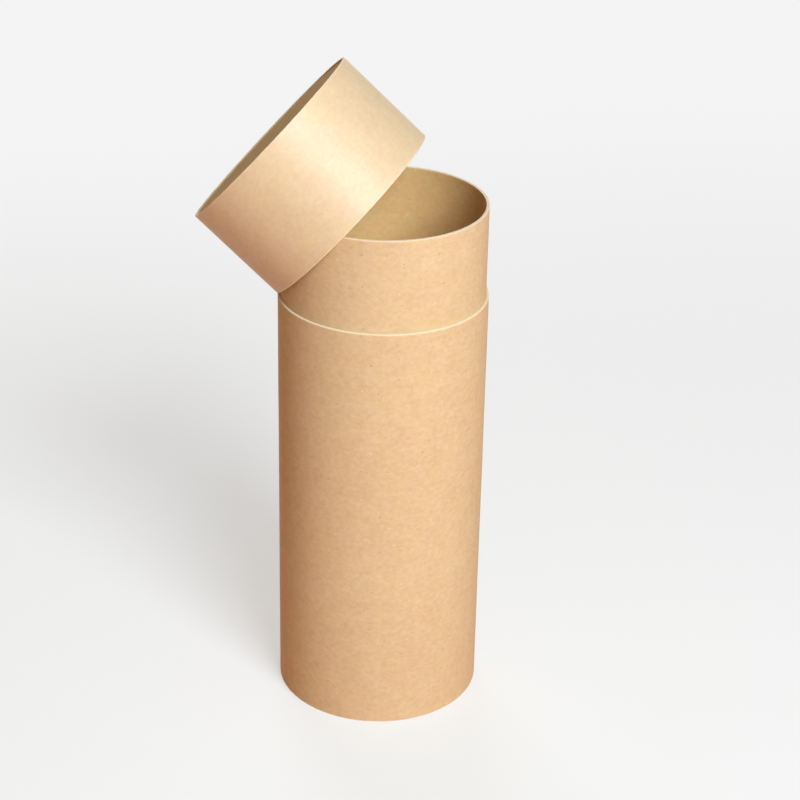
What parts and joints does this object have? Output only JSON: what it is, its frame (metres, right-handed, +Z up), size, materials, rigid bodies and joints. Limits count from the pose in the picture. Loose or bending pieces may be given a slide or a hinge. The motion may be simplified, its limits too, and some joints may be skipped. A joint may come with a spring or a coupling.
{
  "type": "cylinder box",
  "caption": "Tall round box of kraft board with a telescoping neck, its deep push-on lid taken off and leaning across the neck's mouth.",
  "frame": {"origin": "on the body's axis, at the plane of the body's bottom rim, which the box stands on", "axes": "+Z up along the body's axis, +X to the right and -Y to the front of the box; the lid leans towards -X and its closed end points 11 degrees to the back of -X"},
  "size_m": [0.1105, 0.0885, 0.2565],
  "materials": {
    "outer_wrap": "matte",
    "neck_board": "matte",
    "end_board": "matte"
  },
  "bodies": {
    "root": {"body_tube": "outer_wrap", "neck_tube": "neck_board", "base_disc": "end_board", "lid_tube": "outer_wrap", "lid_disc": "end_board"}
  },
  "joints": []
}
